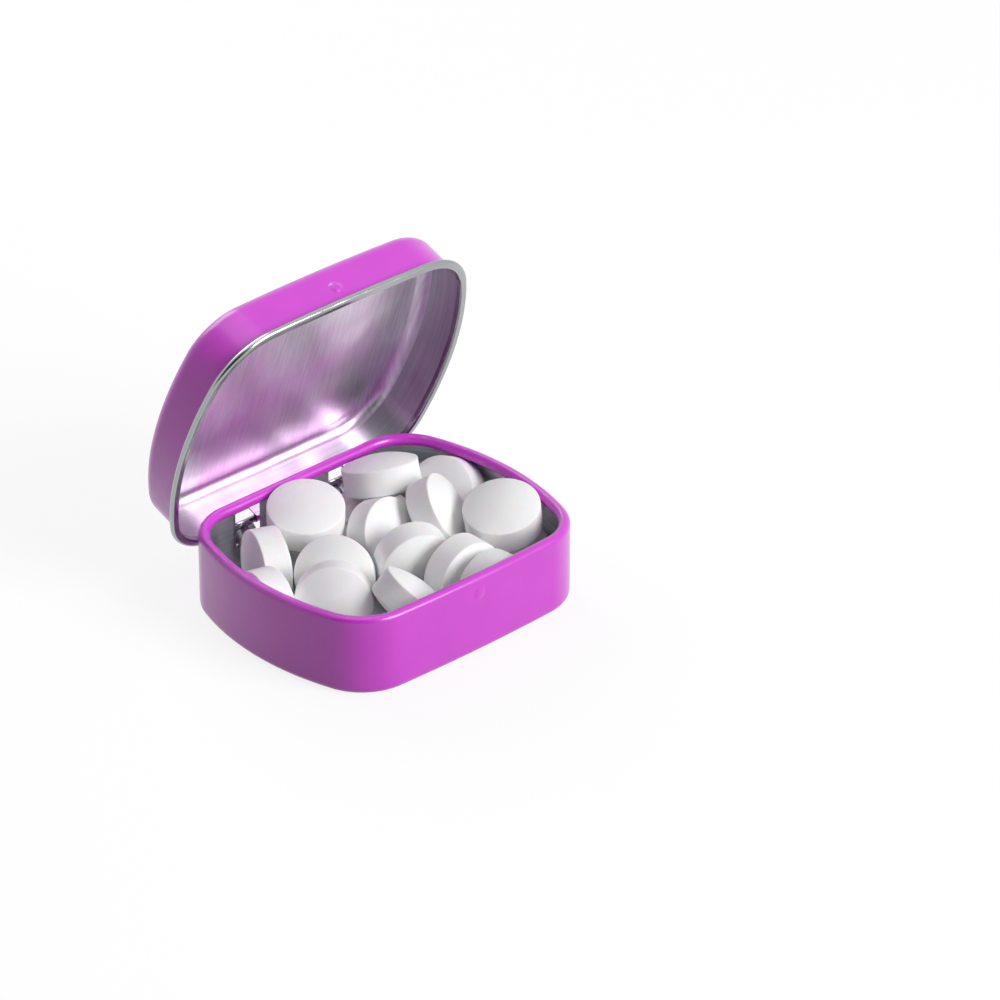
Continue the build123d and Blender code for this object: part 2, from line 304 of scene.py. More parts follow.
# %% Shader groups
def grain_group(coarse_size=0.3):
    """Fine bumps: two sizes of noise, mixed by the coarse one's share."""
    inputs = {"Size": "Float", "Coarse share": "Float"}
    group, start, end = new_group("fine_grain", "Shader", ("Height", "Float"), inputs)
    place = object_place(group)
    fine = add_node(group, "ShaderNodeTexNoise", {"Vector": place, "Scale": start["Size"]})
    larger = calc(group, "MULTIPLY", start["Size"], coarse_size)
    coarse = add_node(group, "ShaderNodeTexNoise", {"Vector": place, "Scale": larger})
    # A Mix node's plain numbers go in at inputs 2 and 3
    bumps = {0: start["Coarse share"], 2: fine.outputs["Fac"], 3: coarse.outputs["Fac"]}
    feed(group, end, {"Height": add_node(group, "ShaderNodeMix", bumps).outputs[0]})
    return group


def patch_group():
    """Slow patches between two values, for roughness."""
    inputs = {"Size": "Float", "Low": "Float", "High": "Float"}
    group, start, end = new_group("slow_patches", "Shader", ("Value", "Float"), inputs)
    slow = {"Vector": object_place(group), "Scale": start["Size"], "Detail": 4}
    noise = add_node(group, "ShaderNodeTexNoise", slow).outputs["Fac"]
    feed(group, end, {"Value": ranged(group, noise, 0.35, 0.65, start["Low"], start["High"])})
    return group


grain, patches = grain_group(), patch_group()
for group in (grain, patches):
    print("shader group", group.name, "takes", [item.name for item in group.interface.items_tree][1:])

# %% [markdown]
# ## Steps that the materials share
# Lacquer, tinplate and sugar all start alike: a noise between two close tints gives the colour, a
# patch group the roughness, and a bump the grain. Each helper makes one of those steps and hands
# back its output, so that a material below says only what is its own.


# %% Material helpers
def new_material(name):
    """A material, its node tree and its Principled shader."""
    material = bpy.data.materials.new(name)
    material.use_nodes = True
    return material, material.node_tree, material.node_tree.nodes["Principled BSDF"]


def noise_at(tree, place, scale, detail):
    """A noise at a place."""
    inputs = {"Vector": place, "Scale": scale, "Detail": detail}
    return add_node(tree, "ShaderNodeTexNoise", inputs).outputs["Fac"]


def tints(tree, value, spread, dark, light):
    """A ramp between two tints, over a spread either side of a half."""
    ramp = add_node(tree, "ShaderNodeValToRGB", {"Fac": value})
    for element, side, tint in zip(ramp.color_ramp.elements, (-1, 1), (dark, light)):
        element.position = 0.5 + side * spread
        element.color = (*tint, 1)
    return ramp.outputs["Color"]


def bumped(tree, height, strength, distance, under=None):
    """A bumped normal, on top of another if one is given."""
    inputs = {"Strength": strength, "Distance": distance, "Height": height}
    if under is not None:
        inputs["Normal"] = under
    return add_node(tree, "ShaderNodeBump", inputs).outputs["Normal"]


def uneven(tree, size, low, high):
    """Uneven roughness from the shared patch group."""
    inputs = {"Size": size, "Low": low, "High": high}
    return add_node(tree, "ShaderNodeGroup", inputs, node_tree=patches).outputs["Value"]


def grained(tree, size, coarse_share):
    """Fine bumps from the shared grain group."""
    inputs = {"Size": size, "Coarse share": coarse_share}
    return add_node(tree, "ShaderNodeGroup", inputs, node_tree=grain).outputs["Height"]


print("materials share", [step.__name__ for step in (noise_at, tints, bumped, uneven, grained)])

# %% [markdown]
# ## Magenta lacquer
# The outside is printed with a satin lacquer under a thin clear coat. One flat colour would look
# like plastic, so the tint is slightly cloudy, and a faint orange peel breaks up its reflections.


# %% Lacquer
def lacquer_material():
    """Satin tin lacquer with a thin clear coat."""
    material, tree, shader = new_material("magenta_lacquer")
    cloud = noise_at(tree, object_place(tree), scale=90, detail=3)
    peel = grained(tree, size=1800, coarse_share=0.5)
    feed(tree, shader, {
        "Base Color": tints(tree, cloud, 0.2, dark=(0.60, 0.032, 0.61), light=(0.65, 0.038, 0.65)),
        "Roughness": uneven(tree, size=150, low=0.30, high=0.37),
        "Coat Weight": 0.6,
        "Coat Roughness": 0.14,
        "Normal": bumped(tree, peel, strength=0.12, distance=0.02 * MM),
    })
    return material


lacquer = lacquer_material()
print("lacquer nodes:", [node.bl_label for node in lacquer.node_tree.nodes])

# %% [markdown]
# ## Bare tinplate
# Inside, the tin is bare. Rolling leaves fine lines across the flat panel, and drawing leaves lines
# round the walls, so one noise is stretched either way. The lid is drawn open, and its lines turn
# Soft swells bend the reflections, and cloudy pink patches, a painted reflection of the magenta lacquer,
# tint the panel.


# %% Bare tinplate
def tin_material(name, turn, lines, shade, low, high, depth, painted_reflection=0.0):
    """Bare tinplate with fine lines, soft swells and faint patches of painted pink reflection."""
    material, tree, shader = new_material(name)
    place = object_place(tree)
    upright = add_node(tree, "ShaderNodeMapping", {"Vector": place, "Rotation": (radians(turn), 0, 0)})
    stretched = add_node(tree, "ShaderNodeMapping", {"Vector": upright.outputs["Vector"], "Scale": lines})
    rolled = noise_at(tree, stretched.outputs["Vector"], scale=1, detail=5)
    dark, light = ([share * shade for share in shares] for shares in (dark_shares, light_shares))
    # Cloudy pink patches over the tin's own colour: a painted reflection of the magenta lacquer
    painted_reflection_patches = ranged(tree, noise_at(tree, place, scale=55, detail=2), 0.38, 0.62, 0.0, painted_reflection)
    # A Mix node's colours go in at inputs 6 and 7, and come out at output 2
    colours = {0: painted_reflection_patches, 6: tints(tree, rolled, 0.2, dark, light), 7: painted_reflection_pink}
    swells = bumped(tree, noise_at(tree, place, scale=100, detail=1), strength=0.5, distance=0.9 * MM)
    feed(tree, shader, {
        "Base Color": add_node(tree, "ShaderNodeMix", colours, data_type="RGBA").outputs[2],
        "Metallic": 1,
        "Roughness": uneven(tree, size=60, low=low, high=high),
        "Normal": bumped(tree, rolled, strength=depth, distance=0.004 * MM, under=swells),
    })
    return material


across, around = (2600, 150, 150), (45, 45, 2200)
dark_shares, light_shares = (0.84, 0.86, 0.90), (1.08, 1.10, 1.13)
# The pink of the painted reflection inside the lid
painted_reflection_pink = (0.86, 0.36, 0.80, 1)
bare_tin = tin_material("bare_tinplate", 0, around, shade=0.80, low=0.33, high=0.38, depth=0.2)
lid_tin = tin_material("lid_panel_tinplate", open_angle, across,
                       shade=0.82, low=0.32, high=0.36, depth=0.32, painted_reflection=0.48)
# The lid's wall and the rolled tin, also used for the tongues and rolls, are darker copies of the same
# tinplate: painted shade
lid_wall = tin_material("lid_wall_tinplate", open_angle, around,
                        shade=0.54, low=0.34, high=0.38, depth=0.25, painted_reflection=0.08)
shaded_rolled_tin = tin_material("rolled_tin", open_angle, around, shade=0.40, low=0.14, high=0.18, depth=0.2)
print("tinplate:", [material.name for material in (bare_tin, lid_tin, lid_wall, shaded_rolled_tin)])

# %% [markdown]
# ## Pressed mint
# A mint is sugar powder pressed hard: matt, almost white, and a little light passes through it.
# A plain white would look like plaster, so it has subsurface light and two sizes of powder grain.


# %% Pressed mint
def mint_material():
    """Matt pressed sugar with a little light inside."""
    material, tree, shader = new_material("pressed_mint")
    cloud = noise_at(tree, object_place(tree), scale=260, detail=6)
    powder = grained(tree, size=5200, coarse_share=0.45)
    feed(tree, shader, {
        "Base Color": tints(tree, cloud, 0.25, dark=(0.93, 0.935, 0.93), light=(0.965, 0.97, 0.965)),
        "Roughness": uneven(tree, size=400, low=0.62, high=0.78),
        "Subsurface Weight": 0.4,
        "Subsurface Scale": 0.6 * MM,
        "Normal": bumped(tree, powder, strength=0.35, distance=0.03 * MM),
    })
    return material


mint_white = mint_material()
print("mint nodes:", [node.bl_label for node in mint_white.node_tree.nodes])

# %% [markdown]
# ## Curves and plain meshes
# A section swept along a path needs both as curve objects. Plain poly lines are enough, because
# their points already lie where the sheet does. Small strips are plain meshes made from lists.


# %% Curves and meshes
def keep(name, data):
    """An object in the scene for a mesh, a curve, a lamp or a camera."""
    thing = bpy.data.objects.new(name, data)
    bpy.context.scene.collection.objects.link(thing)
    return thing


def poly_curve(name, points, closed):
    """A poly curve object through three dimensional points."""
    data = bpy.data.curves.new(name, "CURVE")
    data.dimensions = "3D"
    spline = data.splines.new("POLY")
    spline.points.add(len(points) - 1)
    for point, place in zip(spline.points, points):
        point.co = (*place, 1)
    spline.use_cyclic_u = closed
    return keep(name, data)


def mesh_object(name, vertices=(), faces=()):
    """A mesh object from lists."""
    mesh = bpy.data.meshes.new(name)
    mesh.from_pydata([tuple(v) for v in vertices], [], list(faces))
    return keep(name, mesh)


def smooth(piece):
    """Shade every face of a piece smoothly."""
    for face in piece.data.polygons:
        face.use_smooth = True


def drawn_box(piece):
    """A drawn piece's own box in millimetres."""
    co = np.array([v.co for v in piece.data.vertices]) / MM
    return co.min(0).round(2).tolist(), co.max(0).round(2).tolist()


trial = poly_curve("trial", [(p.x, p.y, 0) for p in ring(0)], True)
print("the path as a curve has", len(trial.data.splines[0].points), "points")
bpy.data.objects.remove(trial)

# %% [markdown]
# ## A sheet swept round the tin
# Drawing gives a tray one section all the way round, so the section is swept along the path. A
# turned shape would be round, and faces made by hand wouldn't follow a change of size. The flat
# middle is filled from the sweep's own free edge, so that both share their points. Last, a round
# cap is pushed out of the front wall: the snap dimple that holds the lid shut.


# %% Sweep group
def filled_middle(group, swept, height, z, same_height=0.01 * MM, weld_distance=0.002 * MM):
    """A swept sheet, with a flat face inside its free edge at a height."""
    beside = add_node(group, "GeometryNodeInputMeshEdgeNeighbors")
    free = calc(group, "LESS_THAN", beside.outputs[0], 1.5)
    off_height = calc(group, "ABSOLUTE", calc(group, "SUBTRACT", z, height))
    level = calc(group, "LESS_THAN", off_height, same_height)
    chosen = {"Mesh": swept, "Selection": calc(group, "MULTIPLY", free, level)}
    edge = add_node(group, "GeometryNodeMeshToCurve", chosen).outputs["Curve"]
    middle = add_node(group, "GeometryNodeFillCurve", {"Curve": edge}, mode="NGONS").outputs["Mesh"]
    # A filled curve lies at height 0, so it is raised
    lift = add_node(group, "ShaderNodeCombineXYZ", {"Z": height}).outputs[0]
    raised = add_node(group, "GeometryNodeSetPosition", {"Geometry": middle, "Offset": lift})
    join = add_node(group, "GeometryNodeJoinGeometry")
    feed(group, join, {"Geometry": swept})
    feed(group, join, {"Geometry": raised.outputs["Geometry"]})
    joined = {"Geometry": join.outputs["Geometry"], "Distance": weld_distance}
    return add_node(group, "GeometryNodeMergeByDistance", joined).outputs["Geometry"]


def dimple_offset(group, x, y, z, height, half_width, depth):
    """How far the front wall moves: a round cap with the dimple's depth."""
    rise = calc(group, "SUBTRACT", z, height)
    square = calc(group, "ADD", calc(group, "MULTIPLY", x, x), calc(group, "MULTIPLY", rise, rise))
    share = calc(group, "DIVIDE", calc(group, "SQRT", square), half_width)
    cap = calc(group, "MAXIMUM", calc(group, "SUBTRACT", 1.0, calc(group, "MULTIPLY", share, share)), 0.0)
    front_cap = calc(group, "MULTIPLY", cap, calc(group, "LESS_THAN", y, 0.0))
    push = calc(group, "MULTIPLY", front_cap, calc(group, "MULTIPLY", depth, -1.0))
    return add_node(group, "ShaderNodeCombineXYZ", {"Y": push}).outputs[0]


def finish_group(group, geometry, material, end):
    """Realize a group's instances, paint them and send them out."""
    real = add_node(group, "GeometryNodeRealizeInstances", {"Geometry": geometry}).outputs["Geometry"]
    paint = add_node(group, "GeometryNodeSetMaterial", {"Geometry": real, "Material": material})
    feed(group, end, {"Geometry": paint.outputs["Geometry"]})


def sweep_group():
    """Geometry Nodes: sweep a section along a path, fill the flat middle and press a dimple."""
    inputs = {"Path": "Object", "Section": "Object", "Middle height": "Float", "Flip": "Bool",
              "Dimple height": "Float", "Dimple half width": "Float", "Dimple depth": "Float",
              "Material": "Material"}
    group, start, end = new_group("sheet_sweep", "Geometry", ("Geometry", "Geometry"), inputs)
    along = add_node(group, "GeometryNodeObjectInfo", {"Object": start["Path"]}).outputs["Geometry"]
    drawn = add_node(group, "GeometryNodeObjectInfo", {"Object": start["Section"]}).outputs["Geometry"]
    swept = add_node(group, "GeometryNodeCurveToMesh", {"Curve": along, "Profile Curve": drawn})
    position = add_node(group, "GeometryNodeInputPosition").outputs[0]
    x, y, z = add_node(group, "ShaderNodeSeparateXYZ", {0: position}).outputs
    tray = filled_middle(group, swept.outputs["Mesh"], start["Middle height"], z)
    sizes = [start["Dimple " + size] for size in ("height", "half width", "depth")]
    offset = dimple_offset(group, x, y, z, *sizes)
    pressed = add_node(group, "GeometryNodeSetPosition", {"Geometry": tray, "Offset": offset})
    flip = {"Mesh": pressed.outputs["Geometry"], "Selection": start["Flip"]}
    turned = add_node(group, "GeometryNodeFlipFaces", flip).outputs["Mesh"]
    smoothed = add_node(group, "GeometryNodeSetShadeSmooth", {"Geometry": turned}).outputs["Geometry"]
    finish_group(group, smoothed, start["Material"], end)
    return group


sweep = sweep_group()
print("sweep group:", len(sweep.nodes), "nodes and", len(sweep.links), "links")

# %% [markdown]
# ## From modifiers to plain meshes
# The tree and the modifiers could stay live on a piece, but the finished tin is kept as plain
# meshes. So a piece is baked: Blender works it out once, and the result takes its place.


# %% Baking
def set_inputs(modifier, **values):
    """Give a node group's inputs by label, through their socket identifiers."""
    for item in modifier.node_group.interface.items_tree:
        label = item.name.replace(" ", "_")
        if item.in_out == "INPUT" and label in values:
            modifier[item.identifier] = values[label]


def bake(piece, *materials):
    """Apply a piece's modifiers to a plain mesh, and give it its materials."""
    bpy.context.view_layer.update()
    evaluated = piece.evaluated_get(bpy.context.evaluated_depsgraph_get())
    mesh = bpy.data.meshes.new_from_object(evaluated)
    piece.modifiers.clear()
    piece.data = mesh
    while len(mesh.materials) < len(materials):
        mesh.materials.append(None)
    for number, material in enumerate(materials):
        mesh.materials[number] = material


def drop(*helpers):
    """Remove helper objects that a bake no longer needs."""
    for helper in helpers:
        bpy.data.objects.remove(helper)


# %% [markdown]
# ## Sheet metal
# Both halves are one sheet, lacquered on one side. Solidify gives a swept face that thickness and
# puts the second material on the other side and the rim. Drawing both sides by hand would do the
# same, with twice the points and a chance that the gap between them varies.


# %% Sheet metal
def swept_sheet(name, section, flip, depth):
    """One shell's middle face, swept round the path, with its flat middle and its dimple."""
    path_curve = poly_curve(name + "_path", [(p.x, p.y, 0) for p in ring(0)], True)
    section_curve = poly_curve(name + "_section", [(d, -z, 0) for d, z in section], False)
    shell = mesh_object(name)
    nodes = shell.modifiers.new("sweep", "NODES")
    nodes.node_group = sweep
    set_inputs(nodes, Path=path_curve, Section=section_curve, Middle_height=section[0][1], Flip=flip,
               Dimple_height=dimple_height, Dimple_half_width=dimple_width / 2, Dimple_depth=depth,
               Material=lacquer)
    bake(shell, lacquer)
    drop(path_curve, section_curve)
    return shell


def thicken(piece, outside, inside):
    """The tinplate's thickness, with one material outside and one inside and at its cut edges."""
    bake(piece, outside, inside)
    piece.data.polygons.foreach_set("material_index", [0] * len(piece.data.polygons))
    solid = piece.modifiers.new("thickness", "SOLIDIFY")
    solid.thickness = sheet
    solid.offset = 0
    solid.use_even_offset = True
    solid.material_offset = 1
    solid.material_offset_rim = 1


base_shell = swept_sheet("tin_base_shell", base_section, True, dimple_depth)
lid_shell = swept_sheet("tin_lid_shell", lid_section, False, dimple_depth + 2 * dimple_clearance)
for shell in (base_shell, lid_shell):
    thicken(shell, lacquer, bare_tin)
    print(shell.name, "middle face box in mm:", *drawn_box(shell))

# %% [markdown]
# ## Windows and slots
# The hinge is made from the sheet itself. Two windows in the base's back wall let its tongues out,
# and two slots in the lid's skirt bare the bead that they hold. The holes could be left out of the
# swept face, but a Boolean cut keeps a clean edge through the sheet and reads like a punch.


# %% Windows and slots
def punch(name, centre_y, depth, width, bottom, top, top_radius=0):
    """Prisms along Y at both hinge places, with their two top corners rounded if asked."""
    vertices, faces = [], []
    half = width / 2
    for place in hinge_places:
        outline = [(place - half, bottom), (place + half, bottom)]
        if top_radius:
            outline += arc((place + half - top_radius, top - top_radius), top_radius, 0, 90, 8)
            outline += arc((place - half + top_radius, top - top_radius), top_radius, 90, 90, 8)
        else:
            outline += [(place + half, top), (place - half, top)]
        first, count = len(vertices), len(outline)
        vertices += [(x, y, z) for y in (centre_y - depth / 2, centre_y + depth / 2) for x, z in outline]
        faces.append([first + k for k in range(count)])
        faces.append([first + count + k for k in reversed(range(count))])
        for k in range(count):
            beside = (k + 1) % count
            faces.append([first + k, first + count + k, first + count + beside, first + beside])
    return mesh_object(name, vertices, faces)


def cut(piece, cutter, *materials):
    """Cut a closed shape out of a piece, and bake it."""
    knife = piece.modifiers.new("cut", "BOOLEAN")
    knife.object = cutter
    knife.operation = "DIFFERENCE"
    knife.solver = "EXACT"
    bake(piece, *materials)
    drop(cutter)


# The tongue leaves the wall at its root and is tangent to its curl round the bead
hinge_places = (-hinge_spacing / 2, hinge_spacing / 2)
roll_radius = bead_radius - mid
curl_radius = roll_radius + tongue_clearance + mid
touch_angle = radians(270 + tongue_slope)
tangent = (bead_y + curl_radius * cos(touch_angle), bead_height + curl_radius * sin(touch_angle))
elbow_height = tangent[1] - (tangent[0] - wall_y + mid) * tan(radians(tongue_slope))
tongue_root = elbow_height - tongue_bend_radius * tan(radians(tongue_slope / 2))
tongue_width = window_width - 2 * tongue_kerf
slot_width = tongue_width + 2 * slot_side_gap

window_depth = 3 * MM
slot_depth = 6 * MM
slot_bottom = bead_height - 2 * MM
windows = punch("windows", wall_y, window_depth, window_width, tongue_root, base_height - window_top_gap,
                window_corner_radius)
slots = punch("slots", wall_y + slot_depth / 2, slot_depth, slot_width, slot_bottom,
              bead_height + slot_height)
cut(base_shell, windows, lacquer, bare_tin)
cut(lid_shell, slots, lacquer, lid_tin, lid_wall, shaded_rolled_tin)
for shell in (base_shell, lid_shell):
    print(shell.name, "box in mm:", *drawn_box(shell), len(shell.data.polygons), "faces")

# %% [markdown]
# ## Wall, bead and panel inside the lid
# The lid's bare wall and its rolled bead are darker copies of the panel's tinplate, painted shade,
# and their lines run round instead of across. Three objects would need a seam, so one mesh gets a
# material for each, by how high a face stands in the shut lid.

# %% Materials inside the lid
panel_slot, wall_slot, bead_slot = 1, 2, 3
bead_top = bead_height + bead_radius + 0.05 * MM
for face in lid_shell.data.polygons:
    if face.material_index == panel_slot and face.center.z < lid_edge[1]:
        face.material_index = bead_slot if face.center.z < bead_top else wall_slot
counts = np.bincount([face.material_index for face in lid_shell.data.polygons])
names = [material.name for material in lid_shell.data.materials]
print("lid faces by material:", dict(zip(names, counts.tolist())))

# %% [markdown]
# ## The hinge's tongues and bare rolls
# Two strips of the base's wall slope out through their windows and curl round the lid's bead, which
# is a bare roll there. A bent cylinder would have no root in the wall, so each strip is drawn as
# its own section: a bend, a straight slope and a long arc.


# %% Tongues and rolls
def strip(name, section, place, width):
    """A sheet strip with its section in the YZ plane, at a place along X."""
    vertices = [(x, y, z) for y, z in section for x in (place - width / 2, place + width / 2)]
    faces = [[2 * k, 2 * k + 2, 2 * k + 3, 2 * k + 1] for k in range(len(section) - 1)]
    return mesh_object(name, vertices, faces)


root_overlap = 0.02 * MM
roll_overlap = 0.3 * MM
bend_start = wall_y - mid + tongue_bend_radius
bend = [(bend_start - tongue_bend_radius * cos(a), tongue_root + tongue_bend_radius * sin(a))
        for a in np.linspace(0, radians(tongue_slope), 9)]
tongue_section = [(wall_y - mid, tongue_root - root_overlap)] + bend
tongue_section += line(bend[-1], tangent, 4)
tongue_section += arc((bead_y, bead_height), curl_radius, 270 + tongue_slope, tongue_curl_turn, 28)[1:]
roll_section = arc((bead_y, bead_height), roll_radius, 0, 360, 32)
tongues, rolls = [], []
for number, place in enumerate(hinge_places, 1):
    tongue = strip(f"hinge_tongue_{number}", tongue_section, place, tongue_width)
    thicken(tongue, shaded_rolled_tin, shaded_rolled_tin)
    bake(tongue, shaded_rolled_tin, shaded_rolled_tin)
    tongues.append(tongue)
    roll = strip(f"hinge_roll_{number}", roll_section, place, slot_width + 2 * roll_overlap)
    roll.data.materials.append(shaded_rolled_tin)
    rolls.append(roll)
for piece in (*tongues, *rolls):
    smooth(piece)
    print(piece.name, "box in mm:", *drawn_box(piece))

# %% [markdown]
# ## Open the lid
# The lid was drawn shut, which keeps its sizes plain. It is opened by turning its points about the
# bead, because a rotation on the object would have to be undone at the end. A sheet without holes
# has two faces at each edge, and each shell is counted for that first.

# %% Open lid
for shell in (base_shell, lid_shell):
    faces_at = {}
    for face in shell.data.polygons:
        for key in face.edge_keys:
            faces_at[key] = faces_at.get(key, 0) + 1
    open_edges = sum(count != 2 for count in faces_at.values())
    print(shell.name, "edges not shared by two faces:", open_edges, "of", len(faces_at))

turn_open = Matrix.Rotation(-radians(open_angle), 4, "X")
opening = Matrix.Translation(hinge) @ turn_open @ Matrix.Translation(-hinge)
for piece in (lid_shell, *rolls):
    piece.data.transform(opening)
solid_box = [round(v / MM, 2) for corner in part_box("tin_lid") for v in corner]
print("lid solid", solid_box, "drawn", *drawn_box(lid_shell))

# %% [markdown]
# ## One tablet
# A mint is a short drum with a shallow dome on each face, and its press leaves a small rounded rim.
# A scaled sphere would have no straight side, so half the section is drawn and turned on an axis.


# %% Tablet
def tablet_section(edge=0.28 * MM, dome_steps=20, edge_steps=7, side_steps=10):
    """Half section of a mint as (radius, height), with a small rounded rim."""
    radius = mint_diameter / 2
    ball = (radius**2 + mint_dome**2) / (2 * mint_dome)
    slope = np.arcsin(radius / ball)
    rim = edge * tan((pi / 2 - slope) / 2)
    dome_angle = np.arcsin((radius - rim * cos(slope)) / ball)
    top = []
    for r in ball * np.sin(np.linspace(0, dome_angle, dome_steps)):
        top.append((r, mint_band / 2 + mint_dome - ball + sqrt(ball**2 - r**2)))
    centre = (radius - edge, mint_band / 2 - rim)
    for a in np.linspace(pi / 2 - slope, 0, edge_steps)[1:]:
        top.append((centre[0] + edge * cos(a), centre[1] + edge * sin(a)))
    side = [(radius, centre[1] * (1 - 2 * k / side_steps)) for k in range(1, side_steps)]
    return top + side + [(r, -z) for r, z in reversed(top)]


def tablet(steps=120):
    """The flat mint, turned from its half section."""
    section = tablet_section()
    rows = section[1:-1]
    turns = [2 * pi * k / steps for k in range(steps)]
    vertices = [(0, 0, section[0][1]), (0, 0, section[-1][1])]
    for r, z in rows:
        vertices += [(r * cos(a), r * sin(a), z) for a in turns]
    last = 2 + (len(rows) - 1) * steps
    faces = []
    for k in range(steps):
        n = (k + 1) % steps
        faces.append([0, 2 + k, 2 + n])
        faces.append([1, last + n, last + k])
        for above in range(2, last, steps):
            below = above + steps
            faces.append([above + k, below + k, below + n, above + n])
    piece = mesh_object("tablet", vertices, faces)
    smooth(piece)
    return piece


flat_tablet = tablet()
print("tablet box in mm:", *drawn_box(flat_tablet))

# %% [markdown]
# ## Place, wear and paint a mint
# The mints are one shape that repeats, in another place and at another tilt each time. Eighteen
# copied meshes would do, but no two real mints are alike. One Geometry Nodes group turns a tablet to
# a mint's axis, and a noise with the mint's own seed sinks its surface a little here and there.


# %% Placing group
def placing_group(wear_size=900, wear_detail=2):
    """Geometry Nodes: turn a tablet to an axis, move it, wear it slightly and paint it."""
    inputs = {"Tablet": "Object", "Centre": "Vector", "Axis": "Vector", "Seed": "Float", "Wear": "Float",
              "Material": "Material"}
    group, start, end = new_group("place_mint", "Geometry", ("Geometry", "Geometry"), inputs)
    shape = add_node(group, "GeometryNodeObjectInfo", {"Object": start["Tablet"]}).outputs["Geometry"]
    point = add_node(group, "GeometryNodePoints", {"Position": start["Centre"]}).outputs[0]
    turn = add_node(group, "FunctionNodeAlignRotationToVector", {"Vector": start["Axis"]}, axis="Z")
    on_point = {"Points": point, "Instance": shape, "Rotation": turn.outputs[0]}
    placed = add_node(group, "GeometryNodeInstanceOnPoints", on_point).outputs[0]
    real = add_node(group, "GeometryNodeRealizeInstances", {"Geometry": placed}).outputs[0]
    own_noise = {"W": start["Seed"], "Scale": wear_size, "Detail": wear_detail}
    noise = add_node(group, "ShaderNodeTexNoise", own_noise, noise_dimensions="4D").outputs["Fac"]
    inwards = calc(group, "MULTIPLY", calc(group, "MULTIPLY", noise, start["Wear"]), -1)
    normal = add_node(group, "GeometryNodeInputNormal").outputs[0]
    offset = add_node(group, "ShaderNodeVectorMath", {0: normal, "Scale": inwards}, operation="SCALE")
    worn = add_node(group, "GeometryNodeSetPosition", {"Geometry": real, "Offset": offset.outputs[0]})
    finish_group(group, worn.outputs[0], start["Material"], end)
    return group


placing = placing_group()
print("placing group:", len(placing.nodes), "nodes and", len(placing.links), "links")

# %% [markdown]
# ## Where each mint lies
# The CAD source settled the mints into the tin, so their places aren't typed here again. A mint's
# centre is the mean of its faces, and it is thinnest along its axis, so the axis is the direction
# in which its surface spreads least.


# %% Centre and axis
def centre_and_axis(node):
    """A CAD mint's centre and axis, from its triangles."""
    mesh = frame["nodes"][node].data
    mesh.calc_loop_triangles()
    co = np.array([v.co for v in mesh.vertices])
    corners = co[np.array([t.vertices for t in mesh.loop_triangles])]
    first, second, third = corners.transpose(1, 0, 2)
    area = np.linalg.norm(np.cross(second - first, third - first), axis=1)
    middle = corners.mean(axis=1)
    centre = (middle * area[:, None]).sum(axis=0) / area.sum()
    arm = middle - centre
    spread = (arm * area[:, None]).T @ arm
    axis = np.linalg.eigh(spread)[1][:, 0]
    return centre, axis if axis[2] > 0 else -axis


mint_nodes = sorted(n for n in frame["nodes"] if n.startswith("mint_"))
for node in mint_nodes[:3]:
    centre, axis = centre_and_axis(node)
    print(node, "centre in mm", (centre / MM).round(2).tolist(), "axis", axis.round(3).tolist())

# %% [markdown]
# ## All the mints
# Each mint is its own piece, as in the tin, so a loop places the tablet over every CAD mint. The
# wear is less than a hair's width: only glancing light shows it.

# %% Mints
mint_wear = 0.035 * MM
mints = []
for seed, node in enumerate(mint_nodes, 1):
    centre, axis = centre_and_axis(node)
    mint = mesh_object(node + "_sugar")
    nodes = mint.modifiers.new("place", "NODES")
    nodes.node_group = placing
    set_inputs(nodes, Tablet=flat_tablet, Centre=centre.tolist(), Axis=axis.tolist(), Seed=float(seed),
               Wear=mint_wear, Material=mint_white)
    bake(mint, mint_white)
    mints.append(mint)
drop(flat_tablet)
solid_box = [round(v / MM, 2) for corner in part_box(mint_nodes[0]) for v in corner]
print(len(mints), "mints of", len(mints[0].data.polygons), "faces each")
print(mint_nodes[0], "solid", solid_box, "drawn", *drawn_box(mints[0]))

# %% [markdown]
# ## What rides on what
# The lid turns on the base, so every drawn piece has to know which of the two it moves with. It
# rides on that body, and the two shells and the mints take the place of their CAD solids.

# %% Riding
for piece in (base_shell, *tongues, *mints):
    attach(piece, "base")
for piece in (lid_shell, *rolls):
    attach(piece, "lid")
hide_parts("tin_base")
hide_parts("tin_lid")
for mint, node in zip(mints, mint_nodes):
    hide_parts(node)

# %% [markdown]
# ## The floor
# The tin stands on white paper that runs out of sight. White paint alone would turn grey in the
# shade, so the floor also glows, to the camera and in reflections only, and keeps a soft shadow.

# %% Floor
floor_half, floor_drop = 2, 0.02 * MM
floor_grey, floor_glow, glow_share = 0.42, 1.4, 0.6
corners = [(x * floor_half, y * floor_half, 0) for x, y in ((-1, -1), (1, -1), (1, 1), (-1, 1))]
floor = mesh_object("floor", corners, [[0, 1, 2, 3]])
floor_paint, tree, shader = new_material("pale_floor")
feed(tree, shader, {"Base Color": (*[floor_grey] * 3, 1), "Roughness": 0.9, "Specular IOR Level": 0.1})
rays = add_node(tree, "ShaderNodeLightPath").outputs
seen = calc(tree, "MULTIPLY", calc(tree, "ADD", rays["Is Camera Ray"], rays["Is Glossy Ray"]), glow_share)
glow = add_node(tree, "ShaderNodeEmission", {"Strength": floor_glow}).outputs[0]
both = add_node(tree, "ShaderNodeMixShader", {"Fac": seen, 1: shader.outputs[0], 2: glow})
feed(tree, tree.nodes["Material Output"], {"Surface": both.outputs[0]})
floor.data.materials.append(floor_paint)
floor.location.z = -floor_drop
print("floor is", 2 * floor_half, "m wide and glows with", floor_glow)

# %% [markdown]
# ## The room
# Tin looks like the room round it. A photograph of a room could light it, but a plain world is
# enough here: white to the camera and to gloss, dim to matt surfaces, and darker towards the
# front left, where the photographed lid reflects something dark.

